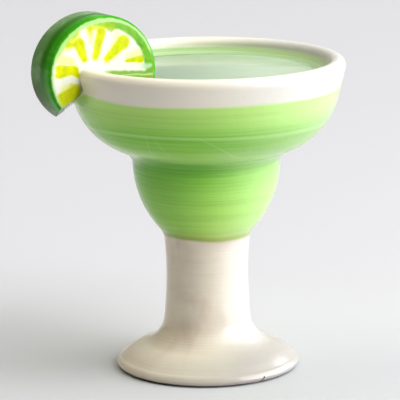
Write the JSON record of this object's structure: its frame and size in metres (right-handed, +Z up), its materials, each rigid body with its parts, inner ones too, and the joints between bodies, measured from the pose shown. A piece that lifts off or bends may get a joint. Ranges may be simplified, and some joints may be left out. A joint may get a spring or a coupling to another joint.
{
  "type": "ceramic margarita cocktail ornament",
  "caption": "Small glazed ceramic margarita: a footed goblet with a two-step bowl, pale green drink near the brim and a thick lime slice over the rim.",
  "frame": {"origin": "centre of the flat face the foot stands on", "axes": "+Z up the stem, -Y towards the front, +X to the right seen from the front; the lime slice is over the rim at the front left"},
  "size_m": [0.0556, 0.05, 0.0654],
  "materials": {
    "goblet_glaze": "gloss",
    "drink_glaze": "gloss",
    "lime_glaze": "gloss"
  },
  "bodies": {
    "root": {"goblet": "goblet_glaze", "drink": "drink_glaze", "lime_slice": "lime_glaze"}
  },
  "joints": []
}
